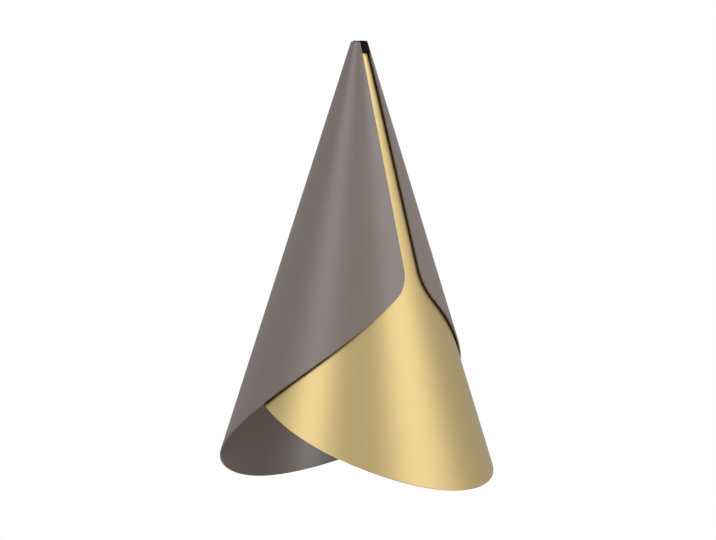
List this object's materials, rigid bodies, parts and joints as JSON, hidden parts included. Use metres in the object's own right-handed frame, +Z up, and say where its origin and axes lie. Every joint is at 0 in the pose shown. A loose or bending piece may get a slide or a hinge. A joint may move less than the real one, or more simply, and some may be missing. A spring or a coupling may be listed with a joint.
{
  "type": "lampshade",
  "caption": "Pendant lampshade of two slit cones rolled from sheet metal, one inside the other and turned half a turn, hung on a moulded plug with a cord bore.",
  "frame": {"origin": "centre of the cord bore's top mouth, on the plug's top face", "axes": "+Z up along the cord, -Y the way the outer sheet's slit faces, +Y the way the inner sheet's slit faces"},
  "size_m": [0.1558, 0.1838, 0.2859],
  "materials": {
    "coated_sheet": "matt powder coat, umber",
    "brass_sheet": "satin brushed",
    "plug": "moulded, fine matt"
  },
  "bodies": {
    "root": {"outer_sheet": "coated_sheet", "inner_sheet": "brass_sheet", "cord_plug": "plug"}
  },
  "joints": []
}
